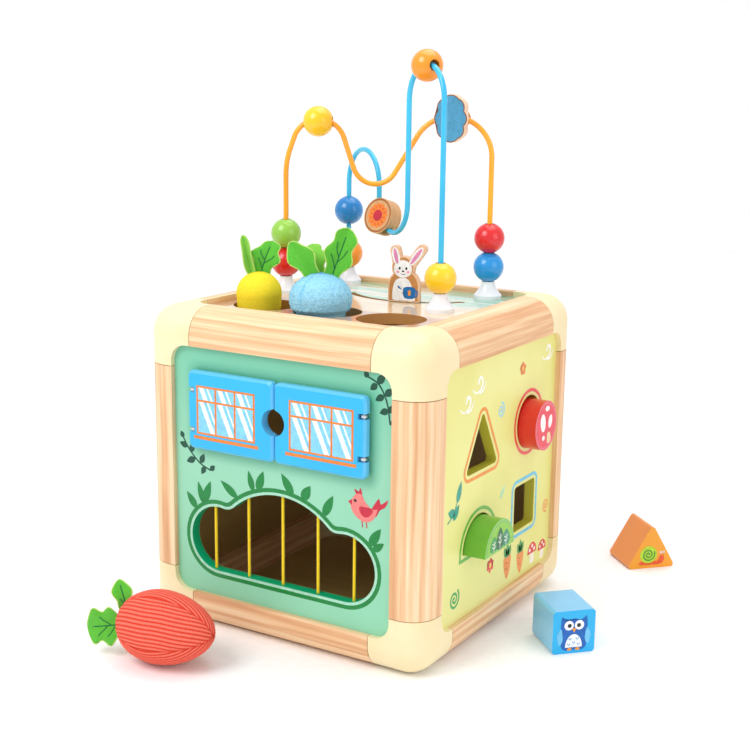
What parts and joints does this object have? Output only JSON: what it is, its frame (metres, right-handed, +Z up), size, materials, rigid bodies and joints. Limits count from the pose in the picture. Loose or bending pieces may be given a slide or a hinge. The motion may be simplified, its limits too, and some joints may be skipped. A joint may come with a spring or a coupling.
{
  "type": "wooden baby activity cube",
  "caption": "Wooden activity cube with hinged shutters, string window, shape-sorting side, wire bead maze, sliding rabbit, soft vegetables and turning gears.",
  "frame": {"origin": "centre of the cube's underside, on the floor", "axes": "+X towards the shape-sorting side, -Y towards the front with the shutters and strings, +Z up"},
  "size_m": [0.4678, 0.6358, 0.6185],
  "materials": {
    "pine": "bare sanded softwood with long grain",
    "cream_paint": "cream satin paint on wood",
    "hidden_dowel": "bare beech",
    "green_panel": "mint green satin paint on plywood",
    "yellow_panel": "pale yellow satin paint on plywood",
    "plain_panel": "clear-lacquered plywood",
    "top_print": "glossy lacquered print on plywood",
    "tray_wood": "bare plywood",
    "shutter_paint": "gloss blue paint on solid wood",
    "steel": "zinc-plated steel",
    "elastic": "braided yellow elastic cord",
    "foot_paint": "white gloss paint on turned wood",
    "orange_wire": "orange powder-coated steel wire",
    "blue_wire": "light blue powder-coated steel wire",
    "red_bead": "red gloss paint on a turned bead",
    "green_bead": "green gloss paint on a turned bead",
    "yellow_bead": "yellow gloss paint on a turned bead",
    "orange_bead": "orange gloss paint on a turned bead",
    "blue_bead": "blue gloss paint on a turned bead",
    "cloud_wood": "laser-cut plywood with a pale blue print",
    "flower_wood": "laser-cut plywood with an orange print",
    "rabbit_wood": "laser-cut plywood with a painted rabbit",
    "yellow_plush": "yellow knitted plush",
    "blue_plush": "pale blue terry cloth",
    "coral_plush": "coral ribbed knit plush",
    "leaf_felt": "green wool felt",
    "red_block": "red gloss paint on solid wood",
    "green_block": "green gloss paint on solid wood",
    "blue_block": "blue gloss paint on solid wood",
    "orange_block": "orange gloss paint on solid wood",
    "red_gear": "red satin paint on plywood",
    "yellow_gear": "yellow satin paint on plywood",
    "blue_gear": "blue satin paint on plywood"
  },
  "bodies": {
    "cube": {"post_front_left": "pine", "post_front_right": "pine", "post_back_left": "pine", "post_back_right": "pine", "top_rail_front": "pine", "top_rail_back": "pine", "top_rail_left": "pine", "top_rail_right": "pine", "bottom_rail_front": "pine", "bottom_rail_back": "pine", "bottom_rail_left": "pine", "bottom_rail_right": "pine", "corner_blocks_top": "cream_paint", "corner_blocks_bottom": "cream_paint", "frame_dowels": "hidden_dowel", "front_panel": "green_panel", "right_panel": "yellow_panel", "back_panel": "plain_panel", "left_panel": "plain_panel", "top_panel": "top_print", "bottom_panel": "tray_wood", "vegetable_tray": "tray_wood", "hinge_eyes": "steel", "elastic_strings": "elastic", "wire_feet": "foot_paint", "wire_orange": "orange_wire", "wire_blue": "blue_wire", "gear_bolts": "steel", "gear_nuts": "steel"},
    "shutter_left": {"shutter_left": "shutter_paint", "hinge_pin_left": "steel"},
    "shutter_right": {"shutter_right": "shutter_paint", "hinge_pin_right": "steel"},
    "bead_red_left": {"bead_red_left": "red_bead"},
    "bead_green_left": {"bead_green_left": "green_bead"},
    "bead_yellow_arch": {"bead_yellow_arch": "yellow_bead"},
    "bead_cloud": {"bead_cloud": "cloud_wood"},
    "bead_red_right": {"bead_red_right": "red_bead"},
    "bead_blue_right": {"bead_blue_right": "blue_bead"},
    "bead_orange_back": {"bead_orange_back": "orange_bead"},
    "bead_blue_back": {"bead_blue_back": "blue_bead"},
    "bead_flower": {"bead_flower": "flower_wood"},
    "bead_orange_top": {"bead_orange_top": "orange_bead"},
    "bead_yellow_front": {"bead_yellow_front": "yellow_bead"},
    "rabbit": {"rabbit_figure": "rabbit_wood", "rabbit_peg": "hidden_dowel", "rabbit_retainer": "steel"},
    "vegetable_yellow": {"plush_yellow": "yellow_plush", "leaves_yellow": "leaf_felt"},
    "vegetable_blue": {"plush_blue": "blue_plush", "leaves_blue": "leaf_felt"},
    "vegetable_coral": {"plush_coral": "coral_plush", "leaves_coral": "leaf_felt"},
    "block_cylinder": {"block_cylinder": "red_block"},
    "block_half_round": {"block_half_round": "green_block"},
    "block_cube": {"block_cube": "blue_block"},
    "block_prism": {"block_prism": "orange_block"},
    "gear_front": {"gear_front": "red_gear"},
    "gear_middle": {"gear_middle": "yellow_gear"},
    "gear_back": {"gear_back": "blue_gear"}
  },
  "joints": [
    {"name": "shutter_right_hinge", "type": "hinge", "parent": "cube", "child": "shutter_right", "pos_m": [0.1055, -0.17525, 0.245], "axis": [0, 0, 1], "range_deg": [0, 155]},
    {"name": "shutter_left_hinge", "type": "hinge", "parent": "cube", "child": "shutter_left", "pos_m": [-0.1055, -0.17525, 0.245], "axis": [0, 0, -1], "range_deg": [0, 155]},
    {"name": "bead_red_left_slide", "type": "slide", "parent": "cube", "child": "bead_red_left", "axis": [0, 0, 1], "range_m": [0, 0.026]},
    {"name": "bead_green_left_slide", "type": "slide", "parent": "bead_red_left", "child": "bead_green_left", "axis": [0, 0, 1], "range_m": [0, 0.027]},
    {"name": "bead_blue_right_slide", "type": "slide", "parent": "cube", "child": "bead_blue_right", "axis": [0, 0, 1], "range_m": [0, 0.036]},
    {"name": "bead_red_right_slide", "type": "slide", "parent": "bead_blue_right", "child": "bead_red_right", "axis": [0, 0, 1], "range_m": [0, 0.037]},
    {"name": "bead_orange_back_slide", "type": "slide", "parent": "cube", "child": "bead_orange_back", "axis": [0, 0, 1], "range_m": [0, 0.01]},
    {"name": "bead_blue_back_slide", "type": "slide", "parent": "bead_orange_back", "child": "bead_blue_back", "axis": [0, 0, 1], "range_m": [-0.019, 0.007]},
    {"name": "bead_yellow_front_slide", "type": "slide", "parent": "cube", "child": "bead_yellow_front", "axis": [0, 0, 1], "range_m": [0, 0.165]},
    {"name": "bead_yellow_arch_turn", "type": "hinge", "parent": "cube", "child": "bead_yellow_arch", "pos_m": [-0.0836, 0.02714, 0.512], "axis": [0.4248, -0.9053, 0], "range_deg": [-40, 25]},
    {"name": "bead_cloud_turn", "type": "hinge", "parent": "cube", "child": "bead_cloud", "pos_m": [0.05226, 0.09088, 0.502], "axis": [0.4248, -0.9053, 0], "range_deg": [-50, 30]},
    {"name": "bead_orange_top_turn", "type": "hinge", "parent": "cube", "child": "bead_orange_top", "pos_m": [0.05899, 0.01876, 0.564], "axis": [-0.5324, -0.8465, 0], "range_deg": [-60, 60]},
    {"name": "bead_flower_turn", "type": "hinge", "parent": "cube", "child": "bead_flower", "pos_m": [-0.00366, 0.05816, 0.452], "axis": [-0.5324, -0.8465, 0], "range_deg": [-3, 60]},
    {"name": "rabbit_slot_turn", "type": "hinge", "parent": "cube", "child": "rabbit", "pos_m": [0.008, 0.122, 0.344], "axis": [0, 0, 1], "range_deg": [-50, 36]},
    {"name": "vegetable_yellow_lift", "type": "slide", "parent": "cube", "child": "vegetable_yellow", "axis": [0, 0, 1], "range_m": [0, 0.08]},
    {"name": "vegetable_blue_lift", "type": "slide", "parent": "cube", "child": "vegetable_blue", "axis": [0, 0, 1], "range_m": [0, 0.08]},
    {"name": "vegetable_coral_lift", "type": "slide", "parent": "cube", "child": "vegetable_coral", "axis": [0, 0, 1], "range_m": [0, 0.1]},
    {"name": "block_cube_lift", "type": "slide", "parent": "cube", "child": "block_cube", "axis": [0, 0, 1], "range_m": [0, 0.1]},
    {"name": "block_prism_lift", "type": "slide", "parent": "cube", "child": "block_prism", "axis": [0, 0, 1], "range_m": [0, 0.1]},
    {"name": "block_cylinder_push", "type": "slide", "parent": "cube", "child": "block_cylinder", "axis": [1, 0, 0], "range_m": [-0.06, 0.06]},
    {"name": "block_half_round_push", "type": "slide", "parent": "cube", "child": "block_half_round", "axis": [1, 0, 0], "range_m": [-0.06, 0.018]},
    {"name": "gear_middle_turn", "type": "hinge", "parent": "cube", "child": "gear_middle", "pos_m": [-0.1738, 0, 0.165], "axis": [1, 0, 0], "continuous": true},
    {"name": "gear_front_turn", "type": "hinge", "parent": "cube", "child": "gear_front", "pos_m": [-0.1738, -0.05716, 0.198], "axis": [1, 0, 0], "continuous": true},
    {"name": "gear_back_turn", "type": "hinge", "parent": "cube", "child": "gear_back", "pos_m": [-0.1738, 0.05716, 0.198], "axis": [1, 0, 0], "continuous": true}
  ],
  "couplings": [
    {"joint": "gear_front_turn", "follows": "gear_middle_turn", "ratio": -1},
    {"joint": "gear_back_turn", "follows": "gear_middle_turn", "ratio": -1}
  ]
}
